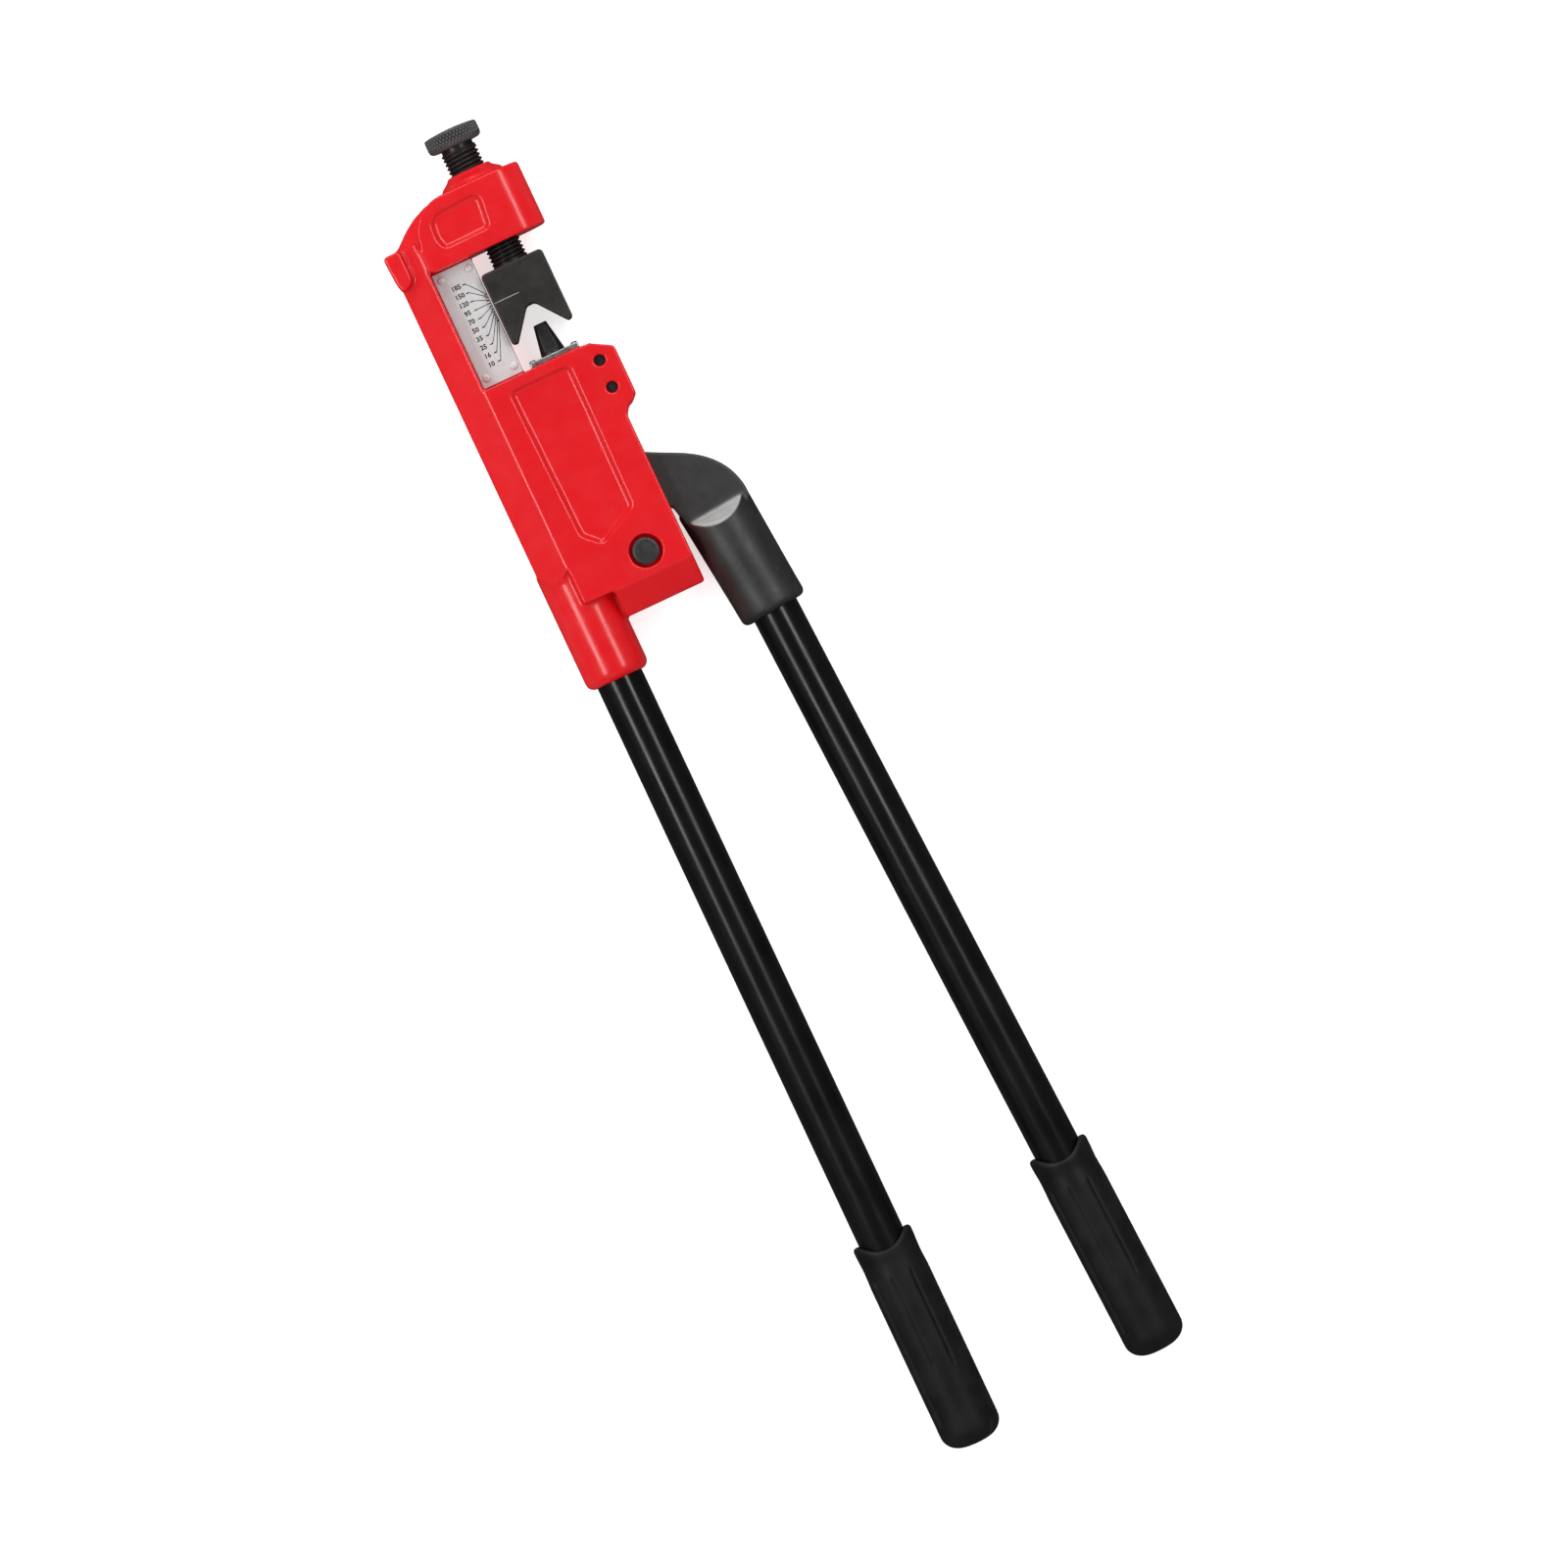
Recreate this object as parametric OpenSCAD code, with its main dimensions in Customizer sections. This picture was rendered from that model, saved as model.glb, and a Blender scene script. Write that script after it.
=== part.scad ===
// Long-handled indent crimping tool for cable lugs, lying on its back face.
// +Y runs from the grips to the adjusting knob, the spine is towards -X,
// and +Z points out of the face that carries the scale plate.

/* [Head casting] */
// Thickness of the casting, from its back face to its scale face
casting_t = 36; // [35:0.5:38]
// Height of the body, from its foot to the throat
body_h = 119.7; // [118:0.1:121]
// Height of the throat, between the body and the jaw
throat_h = 57.9; // [57:0.1:59]
// Height of the jaw that carries the adjusting screw
jaw_h = 30.7; // [29:0.1:32]
// Width of the rounded spine
spine_w = 14.2; // [13:0.1:15]
// Thickness of the web behind the scale plate
web_t = 14; // [10:0.5:16]
// Drop of the sloped spine, from the scale face to its outer side
spine_drop = 8.5; // [7:0.5:10]
// Depth of the decorative pockets
pocket_d = 1.8; // [1:0.1:2.5]
// Depth of the slope along the foot of each cheek
foot_slope_d = 8; // [5:0.5:8]

/* [Crimping dies] */
// Width of the V anvil
anvil_w = 30.5; // [29:0.1:31]
// Height of the V anvil
anvil_h = 34.4; // [33:0.1:35]
// Thickness of the V anvil
anvil_t = 26; // [22:0.5:28]
// Height of the V notch
notch_h = 13; // [11:0.1:13.5]
// Width of the V notch at its mouth
notch_w = 25; // [22:0.1:25.4]
// Diameter of the indenter's nose
nose_d = 6.2; // [5:0.1:7]
// Length of the indenter's taper
nose_l = 14.4; // [13:0.1:14.6]

/* [Adjusting screw] */
// Outer diameter of the screw thread
thread_d = 17; // [16:0.1:17.5]
// Diameter of the knurled knob
knob_d = 25.7; // [24:0.1:28]
// Thickness of the knurled knob
knob_t = 8.4; // [7:0.1:9]

/* [Toggle] */
// Distance between the lever's ram pin and knee pin
crank_l = 15; // [14.5:0.1:15.5]
// Distance between the knee pin and the anchor bolt
link_l = 26; // [25.5:0.1:26.5]
// Angle left before the toggle reaches dead centre
toggle_rest = 3; // [1:0.1:4]
// Diameter of the ram pin and the knee pin
pin_d = 8; // [7:0.1:8]
// Diameter of the anchor bolt
anchor_d = 10; // [9:0.1:10]
// Radial room of the link's lower eye on the anchor bolt
open_pivot_room = 1.5; // [1.4:0.05:1.6]
// Thickness of the toggle link and of the ram's tongue
link_t = 7; // [6:0.1:7]
// Thickness of the lever's plate
lever_t = 19; // [18:0.1:19]

/* [Handles] */
// Outer diameter of the handle tubes
tube_d = 22; // [21:0.1:22]
// Wall of the handle tubes
tube_wall = 2; // [1.5:0.1:3]
// Length of the tube that sits inside each socket
socket_depth = 40; // [30:1:42]
// Reach of the fixed handle below its socket
fixed_reach = 381.8; // [360:0.1:390]
// Reach of the moving handle below its socket
moving_reach = 377.6; // [360:0.1:390]
// Lean of the moving handle away from the fixed one
handle_lean = 2.5; // [1.5:0.1:3.5]
// Outer diameter of the rubber grips
grip_d = 28.6; // [27:0.1:30]
// Length of the rubber grips
grip_l = 103; // [80:1:120]

/* [Hidden] */
$fn = 48;
eps = 0.01;       // overlap that joins or cuts through neighbouring solids
running = 0.05;   // radial running clearance of a bore on its pin
slide_gap = 0.2;  // clearance of flat sliding faces
side_gap = 0.3;   // axial gap between neighbouring moving parts

// Stations across the tool
mid_z = casting_t / 2;
spine_x = -59.7;
face_x = spine_x + spine_w;
web_x = -25.5;
ram_x = -9.8;
body_x = 8.7;
bump_x = 16.6;
jaw_x = 12.2;
fixed_x = -45.2;
slot_x = -20.5;
moving_x = 31.9;

// Stations along the tool
foot_y = 85.6;
body_y = foot_y + body_h;
jaw_y = body_y + throat_h;
jaw_top_y = jaw_y + jaw_h;
anchor_y = 109;
slope_y = foot_y + 13;
slot_y = foot_y + 9.4;
bump_y = 168.6;
fixed_mouth_y = 61.7;
moving_mouth_y = 60;
knee_drop = crank_l * cos(toggle_rest);
knee_shift = crank_l * sin(toggle_rest);
link_lean = asin(knee_shift / link_l);
ram_pin_y = anchor_y + link_l * cos(link_lean) + knee_drop;
knee_x = ram_x + knee_shift;
knee_y = ram_pin_y - knee_drop;
anvil_y = jaw_y - 9.9 - anvil_h;
nose_y = 222.9;
knob_y = 311.7;

// Rounds the outer corners of a flat outline
module rounded(r) offset(r = r) offset(delta = -r) children();

// A flat shape in X and Z, extruded along Y from y0 to y1
module extrude_y(y0, y1) translate([0, y1, 0]) rotate([90, 0, 0])
    linear_extrude(y1 - y0) children();

// A flat shape in X and Y, extruded to a thickness centred on the mid plane
module plate(t) translate([0, 0, mid_z - t / 2]) linear_extrude(t) children();

// Stands its children on the point (x, y) of the mid plane, pointing along +Y
module along_y(x, y) translate([x, y, mid_z]) rotate([-90, 0, 0]) children();

// A round bar across the tool, from z0 to z1
module bar_z(x, y, r, z0, z1) translate([x, y, z0]) cylinder(r = r, h = z1 - z0);

// A frame whose z axis runs down a handle from its socket's mouth
module down_handle(x, y, lean) translate([x, y, mid_z]) rotate([0, 0, lean])
    rotate([90, 0, 0]) children();

function arc(c, r, a0, a1, steps = 8) =
    [for (i = [0:steps]) c + r * [cos(a0 + (a1 - a0) * i / steps), sin(a0 + (a1 - a0) * i / steps)]];

// A smooth bend from a to b, pulled towards c
function bend(a, c, b, steps = 10) =
    [for (i = [0:steps]) let (t = i / steps) (1 - t) * (1 - t) * a + 2 * t * (1 - t) * c + t * t * b];

// ---- Head casting ----

spine_top_y = jaw_y + 16;
spine_end_y = 119.2;
spine_end_r = 7.1;
foot_x = -30.6;
shoulder_lean = 33;
lug_w = 8.4;
nose_r = 13;
cavity_t = lever_t + 2 * slide_gap;
channel_w = 14;
boss_d = 29.7;
boss_h = 4.2;
lip_h = 1.3;
socket_d = 30.4;
guide_pin_r = 2.65;
guide_pins = [[7.8, 195.8], [7.8, 182.5]];
bolt_head_r = 6.2;
recess_r = 7.6;
recess_d = 4.4;

module body_outline() rounded(1.2) polygon(concat(
    [[spine_x, body_y + 2]],
    arc([spine_x + spine_end_r, spine_end_y], spine_end_r, 180, 330, 10),
    [[face_x, spine_end_y - 2.4], [face_x, slope_y], [foot_x, slope_y], [foot_x, foot_y],
        [body_x, foot_y], [body_x, bump_y], [body_x + 2.4, bump_y + 3.6],
        [body_x + 4.6, bump_y + 4.4], [bump_x, bump_y + 7.6], [bump_x, body_y - 6.1],
        [bump_x - 9.6, body_y - 0.7], [bump_x - 15, body_y], [face_x, body_y],
        [face_x, body_y + 2]]));

// Section of the casting in X and Z, with both faces sloped down to the spine's side
module spine_profile(inset = 0) rounded(1.6) polygon([
    [spine_x, spine_drop + inset], [face_x + inset, inset], [100, inset],
    [100, casting_t - inset], [face_x + inset, casting_t - inset],
    [spine_x, casting_t - spine_drop - inset]]);

module body_block() difference() {
    intersection() {
        linear_extrude(casting_t) body_outline();
        extrude_y(foot_y - 1, body_y + 2) spine_profile();
    }
    // sloped feet of the two cheeks
    for (side = [0, 1]) translate([0, 0, mid_z]) mirror([0, 0, side]) translate([0, 0, -mid_z])
        translate([-100, 0, 0]) rotate([90, 0, 90]) linear_extrude(200) polygon([
            [slope_y, casting_t + eps], [foot_y - 1, casting_t + eps],
            [foot_y - 1, casting_t - foot_slope_d - 0.5], [foot_y, casting_t - foot_slope_d]]);
}

module spine() intersection() {
    translate([spine_x - 1, body_y - 10, -1])
        cube([spine_w + 1, spine_top_y - body_y + 10, casting_t + 2]);
    extrude_y(body_y - 10, spine_top_y) spine_profile();
}

module web() translate([face_x - 4, body_y - 4, mid_z - web_t / 2])
    cube([web_x - face_x + 4, throat_h + 8, web_t]);

// The jaw's raised faces, with the arc of their rear edge
module jaw_outline() rounded(1) polygon(concat(
    [[face_x + 1.6, jaw_y]],
    arc([face_x + 19.9, jaw_top_y - 18.3], 18.3, 180, 92, 10),
    [[jaw_x, jaw_top_y], [jaw_x, jaw_y]]));

module jaw() intersection() {
    linear_extrude(casting_t) jaw_outline();
    extrude_y(jaw_y - 1, jaw_top_y + 1) rounded(nose_r)
        translate([jaw_x - 100, 0]) square([100, casting_t]);
}

// The back of the jaw, sloped down to the spine's side and to the shoulder's edge
module jaw_back() intersection() {
    linear_extrude(casting_t) polygon([
        [spine_x + 0.4, jaw_y - 8], [spine_x + 0.4, jaw_y + 14], [spine_x + 6.1, jaw_y + 17],
        [face_x - 1.4, jaw_y + 22.8], [face_x + 4.3, jaw_y + 26.4], [face_x + 11, jaw_y + 29.2],
        [face_x + 20, jaw_y + 30.2], [face_x + 20, jaw_y + 1], [face_x, jaw_y + 1],
        [face_x, jaw_y - 8]]);
    extrude_y(jaw_y - 9, jaw_top_y) spine_profile(1.5);
    translate([face_x + 1.5, jaw_y + 23.4, 0]) rotate([0, 0, shoulder_lean]) rotate([90, 0, 90])
        translate([0, 0, -50]) linear_extrude(100) rounded(2) polygon([
            [1.4, 11], [-9, 2], [-60, 2], [-60, casting_t - 2], [-9, casting_t - 2],
            [1.4, casting_t - 11]]);
}

module lug() linear_extrude(casting_t) rounded(1.2) polygon([
    [spine_x - 2, jaw_y + 15.8], [spine_x - 2 + lug_w, jaw_y + 15.8],
    [spine_x - 2 + lug_w, jaw_y + 1.6], [spine_x + 4.4, jaw_y - 0.8],
    [spine_x + 0.4, jaw_y - 2.2], [spine_x - 1.2, jaw_y + 1]]);

module boss() along_y(ram_x, jaw_top_y - 1) {
    cylinder(d = boss_d, h = 1 + boss_h / 3);
    translate([0, 0, 1 + boss_h / 3]) cylinder(d1 = boss_d, d2 = boss_d - 8, h = boss_h * 2 / 3);
    cylinder(d = thread_d + 4, h = 1 + boss_h + lip_h);
}

module fixed_socket() down_handle(fixed_x, fixed_mouth_y, 0) rotate_extrude($fn = 64)
    polygon(concat([[0, -slope_y + fixed_mouth_y - 20], [socket_d / 2, -slope_y + fixed_mouth_y - 20]],
        arc([socket_d / 2 - 4, -4], 4, 0, 90, 6), [[0, 0]]));

// Outline of the pocket in each face of the jaw
module jaw_pocket() rounded(3) polygon([
    [-34.4, jaw_y + 7.2], [-36.2, jaw_y + 13], [-35.6, jaw_y + 20.6], [-31.8, jaw_y + 24.4],
    [-12.2, jaw_y + 25.7], [-9.5, jaw_y + 22], [-11.2, jaw_y + 7.6]]);

// Outline of the pocket in each face of the body
module body_pocket() rounded(3.4) polygon([
    [-35.7, body_y - 4.8], [-5.1, body_y - 4.8], [-6, body_y - 75.7], [-26, body_y - 86],
    [-34, body_y - 78]]);

pocket_steps = 3;
pocket_slope = 2.2;

module both_faces() for (side = [0, 1])
    translate([0, 0, mid_z]) mirror([0, 0, side]) translate([0, 0, mid_z]) children();

module head_casting() color("red") difference() {
    union() {
        body_block();
        spine();
        web();
        jaw();
        jaw_back();
        lug();
        boss();
        fixed_socket();
    }
    // pockets, with stepped walls that the casting's finish rounds into slopes
    both_faces() for (k = [1:pocket_steps])
        translate([0, 0, -pocket_d * k / pocket_steps]) linear_extrude(pocket_d + 1) {
            offset(delta = -pocket_slope * (k - 1) / pocket_steps) jaw_pocket();
            offset(delta = -pocket_slope * (k - 1) / pocket_steps) body_pocket();
        }
    // cavity for the toggle, open to the right, and the ram's channel above it
    translate([slot_x, slot_y, mid_z - cavity_t / 2])
        cube([60, bump_y - slot_y, cavity_t]);
    translate([ram_x - channel_w / 2 - slide_gap, bump_y - 1, mid_z - cavity_t / 2])
        cube([60, 60, cavity_t]);
    along_y(ram_x, jaw_y - 1) cylinder(d = thread_d + 2 * running, h = 60);
    down_handle(fixed_x, fixed_mouth_y, 0) translate([0, 0, -socket_depth])
        cylinder(d = tube_d + 2 * running, h = socket_depth + 1);
    for (p = guide_pins) bar_z(p.x, p.y, guide_pin_r, -1, casting_t + 1);
    bar_z(ram_x, anchor_y, anchor_d / 2 + running, -1, casting_t + 1);
    both_faces() translate([ram_x, anchor_y, -recess_d]) cylinder(r = recess_r, h = recess_d + 1);
    for (x = guide_screw_xs) along_y(x, body_y - 7) cylinder(d = guide_screw_d, h = 9);
}

// ---- Throat ----

scale_t = 1;
rivet_d = 3.8;
rivet_xs = [face_x + 3.6, web_x - 2.8];
rivet_ys = [body_y + 5, jaw_y - 4.4];
rivet_shank_l = 5;

module scale_plate() color("gainsboro") translate([face_x + 0.5, body_y + 0.8, mid_z + web_t / 2])
    difference() {
        cube([web_x - face_x - 0.6, throat_h - 1.4, scale_t]);
        for (x = rivet_xs, y = rivet_ys)
            translate([x - face_x - 0.5, y - body_y - 0.8, -1]) cylinder(d = rivet_d - 1.4, h = 3);
    }

module scale_plate_rivets() color("lightgray") for (x = rivet_xs, y = rivet_ys)
    translate([x, y, mid_z + web_t / 2 + scale_t]) {
        cylinder(d1 = rivet_d, d2 = rivet_d - 1.6, h = 0.9);
        translate([0, 0, -scale_t]) cylinder(d = rivet_d - 1.4, h = scale_t + eps);
    }

guide_t = 2.6;
guide_w = 24;
guide_depth = 26;
guide_screw_d = 2.5;
guide_screw_xs = [ram_x - 10.3, ram_x + 10.3];
indenter_d = 11.5;

module guide_plate() color("dimgray") difference() {
    translate([ram_x - guide_w / 2, body_y, mid_z - guide_depth / 2])
        cube([guide_w, guide_t, guide_depth]);
    along_y(ram_x, body_y - 1) cylinder(d = indenter_d + 2 * side_gap, h = 9);
    for (x = guide_screw_xs) along_y(x, body_y - 1) cylinder(d = guide_screw_d, h = 9);
}

module guide_plate_screws() color("silver") for (x = guide_screw_xs) along_y(x, body_y) {
    translate([0, 0, -6]) cylinder(d = guide_screw_d, h = 6 + guide_t + eps);
    translate([0, 0, guide_t]) difference() {
        cylinder(d = 3.2, h = 1.1);
        translate([-3, -0.35, 0.6]) cube([6, 0.7, 1]);
    }
}

module guide_block() color("dimgray") difference() {
    translate([ram_x + channel_w / 2 + slide_gap, bump_y + 4, mid_z - lever_t / 2])
        linear_extrude(lever_t) rounded(0.8) polygon([[0, 0], [0, body_y - bump_y - 4.2],
            [9.5, body_y - bump_y - 4.2], [17.8, body_y - bump_y - 11], [17.8, 4.5], [13.5, 0]]);
    for (p = guide_pins) bar_z(p.x, p.y, guide_pin_r, 0, casting_t);
    along_y(guide_screw_xs[1], body_y - 7) cylinder(d = guide_screw_d, h = 9);
}

module guide_block_pins() color("#303030") for (p = guide_pins)
    bar_z(p.x, p.y, guide_pin_r, 2.6, casting_t - 2.6);

module anchor_bolt() color("#3c3c3c") {
    bar_z(ram_x, anchor_y, anchor_d / 2, 1.2, casting_t - recess_d + eps);
    difference() {
        bar_z(ram_x, anchor_y, bolt_head_r, casting_t - recess_d, casting_t - 1);
        translate([ram_x - 4, anchor_y - 0.6, casting_t - 1.8]) cube([8, 1.2, 2]);
    }
}

module anchor_retaining_ring() color("#505050") difference() {
    bar_z(ram_x, anchor_y, recess_r - 0.8, recess_d - 1.4, recess_d);
    bar_z(ram_x, anchor_y, anchor_d / 2, 0, recess_d + 1);
    translate([ram_x, anchor_y - 1, 0]) cube([20, 2, 10]);
}

module link_spacers() color("gray") both_faces() difference() {
    bar_z(ram_x, anchor_y, 7.8, -mid_z + link_t / 2 + side_gap, -mid_z + cavity_t / 2);
    bar_z(ram_x, anchor_y, anchor_d / 2, -mid_z, 0);
}

// ---- Ram ----

ram_top_y = body_y - 1.2;
ram_block_y = ram_pin_y + 16;
shank_d = 9;
shank_l = 12;
set_screw_d = 4;
set_screw_y = ram_top_y - 6;

module ram() color("#4a4a4a") difference() {
    union() {
        translate([ram_x - channel_w / 2, ram_block_y, mid_z - lever_t / 2])
            cube([channel_w, ram_top_y - ram_block_y, lever_t]);
        plate(link_t) {
            translate([ram_x - channel_w / 2, ram_pin_y]) square([channel_w, 17]);
            translate([ram_x, ram_pin_y]) circle(d = channel_w);
        }
    }
    bar_z(ram_x, ram_pin_y, pin_d / 2 + running, 0, casting_t);
    along_y(ram_x, ram_top_y - shank_l) cylinder(d = shank_d, h = shank_l + 1);
    bar_z(ram_x, set_screw_y, set_screw_d / 2, mid_z, casting_t);
}

module indenter() color("#2b2b2b") difference() {
    along_y(ram_x, ram_top_y) {
        translate([0, 0, -shank_l]) cylinder(d = shank_d, h = shank_l + eps);
        cylinder(d = indenter_d, h = nose_y - nose_l - ram_top_y);
        translate([0, 0, nose_y - nose_l - ram_top_y])
            cylinder(d1 = indenter_d, d2 = nose_d, h = nose_l);
    }
    // flats on the two faces of the nose
    for (side = [0, 1]) translate([ram_x, nose_y, mid_z]) mirror([0, 0, side])
        rotate([0, 90, 0]) translate([0, 0, -10]) linear_extrude(20)
            polygon([[-2, 1], [-4.6, -nose_l + 1], [-9, -nose_l + 1], [-9, 1]]);
    bar_z(ram_x, set_screw_y, set_screw_d / 2, mid_z + shank_d / 2 - 0.8, casting_t);
}

module indenter_set_screw() color("#303030") difference() {
    bar_z(ram_x, set_screw_y, set_screw_d / 2, mid_z + shank_d / 2 - 0.8, mid_z + lever_t / 2 - 0.4);
    translate([ram_x, set_screw_y, mid_z + lever_t / 2 - 1.6]) cylinder(d = 2, h = 3, $fn = 6);
}

// ---- Lever ----

hub_r = 9.5;
clevis_x = 7.2;
lever_socket_d = 32;
lever_socket_l = 58;
socket_lean = 5.4;
runout_top = -54;
runout_l = 9;

module lever_outline() rounded(1) {
    for (p = [[ram_x, ram_pin_y], [knee_x, knee_y]]) translate(p) circle(r = hub_r);
    polygon(concat(
        bend([-4.8, 158], [5.5, 151], [20, 144.2], 6),
        bend([20.1, 144.15], [43.8, 133.6], [43.6, 112.5]),
        [[39.5, 107], [38, 98], [18, 98], [14.6, 104], [12.2, 110], [9.4, 122],
            [knee_x, knee_y - hub_r], [knee_x - hub_r, knee_y], [ram_x - hub_r, ram_pin_y]]));
}

// The round socket, with both faces milled down to the plate above a sloped runout
module lever_socket() down_handle(moving_x, moving_mouth_y, socket_lean) difference() {
    rotate_extrude($fn = 64) polygon(concat(
        [[0, -lever_socket_l], [lever_socket_d / 2 + 0.8, -lever_socket_l], [lever_socket_d / 2, -10]],
        arc([lever_socket_d / 2 - 3, -3], 3, 0, 90, 5), [[0, 0]]));
    for (side = [0, 1]) mirror([0, side, 0]) rotate([90, 0, 90]) translate([0, 0, -30])
        linear_extrude(60) polygon([
            [lever_t / 2, -lever_socket_l - 1], [lever_t / 2, runout_top],
            [lever_t / 2 + 9, runout_top + runout_l], [lever_t / 2 + 9, -lever_socket_l - 1]]);
}

module lever_arm() color("#35312f") difference() {
    union() {
        plate(lever_t) lever_outline();
        lever_socket();
    }
    plate(link_t + 2 * side_gap) translate([clevis_x - 40, knee_y - 30]) square([40, 80]);
    bar_z(ram_x, ram_pin_y, pin_d / 2, 0, casting_t);
    bar_z(knee_x, knee_y, pin_d / 2, 0, casting_t);
    down_handle(moving_x, moving_mouth_y, handle_lean) translate([0, 0, -socket_depth])
        cylinder(d = tube_d + 2 * running, h = socket_depth + 1);
}

module pivot_pin(x, y) bar_z(x, y, pin_d / 2, mid_z - lever_t / 2, mid_z + lever_t / 2);

module ram_pin() color("silver") pivot_pin(ram_x, ram_pin_y);

module knee_pin() color("silver") pivot_pin(knee_x, knee_y);

// ---- Toggle link ----

upper_eye_r = 7.6;
lower_eye_r = 9.5;

module toggle_link() color("#5a5a5a") difference() {
    plate(link_t) hull() {
        translate([knee_x, knee_y]) circle(r = upper_eye_r);
        translate([ram_x, anchor_y]) circle(r = lower_eye_r);
    }
    bar_z(knee_x, knee_y, pin_d / 2 + running, 0, casting_t);
    bar_z(ram_x, anchor_y, anchor_d / 2 + open_pivot_room, 0, casting_t);
}

// ---- Handles ----

module handle_tube(reach) difference() {
    translate([0, 0, -socket_depth]) cylinder(d = tube_d, h = reach + socket_depth - 4);
    translate([0, 0, -socket_depth - 1])
        cylinder(d = tube_d - 2 * tube_wall, h = reach + socket_depth);
}

saddle_r = 20;
saddle_d = 6;
dome_r = 7;

module handle_grip(reach) difference() {
    rotate_extrude($fn = 64) polygon(concat(
        [[0, reach - grip_l], [grip_d / 2, reach - grip_l]],
        arc([grip_d / 2 - dome_r, reach - dome_r], dome_r, 0, 90, 8), [[0, reach]]));
    translate([0, 0, reach - grip_l - 1]) cylinder(d = tube_d, h = grip_l - 3);
    // saddle-shaped mouth, lower on the two faces than at the sides
    translate([0, 0, reach - grip_l + saddle_d - saddle_r]) rotate([90, 0, 0])
        cylinder(r = saddle_r, h = grip_d + 2, center = true, $fn = 64);
}

module fixed_handle_tube() color("#101010")
    down_handle(fixed_x, fixed_mouth_y, 0) handle_tube(fixed_reach);

module fixed_handle_grip() color("#242424")
    down_handle(fixed_x, fixed_mouth_y, 0) handle_grip(fixed_reach);

module moving_handle_tube() color("#101010")
    down_handle(moving_x, moving_mouth_y, handle_lean) handle_tube(moving_reach);

module moving_handle_grip() color("#242424")
    down_handle(moving_x, moving_mouth_y, handle_lean) handle_grip(moving_reach);

// ---- Anvil and adjusting screw ----

anvil_x = web_x + 0.4;
apex_r = 2.4;
apex_w = 4;
spigot_d = 12;
spigot_l = 9;
groove_d = 8.4;
groove_h = 3.4;
groove_y = anvil_y + anvil_h - 5.5;
retainer_d = 3;
retainer_shift = groove_d / 2 + retainer_d / 2 + 0.2;
retainer_top_z = mid_z + anvil_t / 2 - 4; // the pins are driven from the back and stay hidden

module anvil_outline() difference() {
    rounded(2) translate([anvil_x, anvil_y]) square([anvil_w, anvil_h]);
    translate([ram_x, anvil_y]) offset(r = apex_r) offset(delta = -apex_r) polygon([
        [-notch_w / 2 - 3.5, -5], [-notch_w / 2, 0], [-apex_w / 2, notch_h + 0.6],
        [apex_w / 2, notch_h + 0.6], [notch_w / 2, 0], [notch_w / 2 + 3.5, -5]]);
}

module v_anvil() color("#322d2b") difference() {
    plate(anvil_t) anvil_outline();
    along_y(ram_x, anvil_y + anvil_h - spigot_l - 0.3)
        cylinder(d = spigot_d + 2 * running, h = spigot_l + 2);
    for (side = [-1, 1])
        bar_z(ram_x + side * retainer_shift, groove_y, retainer_d / 2, -1, retainer_top_z);
}

module anvil_retaining_pins() color("silver") for (side = [-1, 1])
    bar_z(ram_x + side * retainer_shift, groove_y, retainer_d / 2,
        mid_z - anvil_t / 2 + 0.3, retainer_top_z);

stud_d = 10;
neck_d = 15.6;
knob_r = 2.4;
thread_y = anvil_y + anvil_h + side_gap;

module adjusting_screw() color("#1c1c1c") difference() {
    along_y(ram_x, 0) rotate_extrude($fn = 64) polygon([
        [0, anvil_y + anvil_h - spigot_l], [spigot_d / 2, anvil_y + anvil_h - spigot_l],
        [spigot_d / 2, groove_y - groove_h / 2], [groove_d / 2, groove_y - groove_h / 2],
        [groove_d / 2, groove_y + groove_h / 2], [spigot_d / 2, groove_y + groove_h / 2],
        [spigot_d / 2, thread_y], [thread_d / 2, thread_y], [thread_d / 2, knob_y - 2],
        [neck_d / 2, knob_y - 2], [neck_d / 2, knob_y], [stud_d / 2, knob_y],
        [stud_d / 2, knob_y + knob_t - 1.2], [0, knob_y + knob_t - 1.2]]);
    knob_pin_hole();
}

module knob_pin_hole() translate([ram_x, knob_y + knob_t / 2, mid_z]) rotate([0, 90, 0])
    cylinder(d = 3, h = knob_d + 2, center = true);

module adjusting_knob() color("#464848") difference() {
    along_y(ram_x, knob_y) rotate_extrude($fn = 64) polygon(concat([[0, 0]],
        arc([knob_d / 2 - knob_r, knob_r], knob_r, -90, 0, 4),
        arc([knob_d / 2 - knob_r, knob_t - knob_r], knob_r, 0, 90, 4), [[0, knob_t]]));
    along_y(ram_x, knob_y - 1) cylinder(d = stud_d, h = knob_t + 2);
    knob_pin_hole();
}

module knob_pin() color("silver") translate([ram_x, knob_y + knob_t / 2, mid_z]) rotate([0, 90, 0])
    cylinder(d = 3, h = knob_d - 1.6, center = true);

head_casting();
scale_plate();
scale_plate_rivets();
guide_plate();
guide_plate_screws();
guide_block();
guide_block_pins();
anchor_bolt();
anchor_retaining_ring();
link_spacers();
fixed_handle_tube();
fixed_handle_grip();
ram();
indenter();
indenter_set_screw();
lever_arm();
ram_pin();
knee_pin();
moving_handle_tube();
moving_handle_grip();
toggle_link();
v_anvil();
anvil_retaining_pins();
adjusting_screw();
adjusting_knob();
knob_pin();
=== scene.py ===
import math

import bmesh
import bpy
import numpy as np
from mathutils import Matrix, Vector


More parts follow.
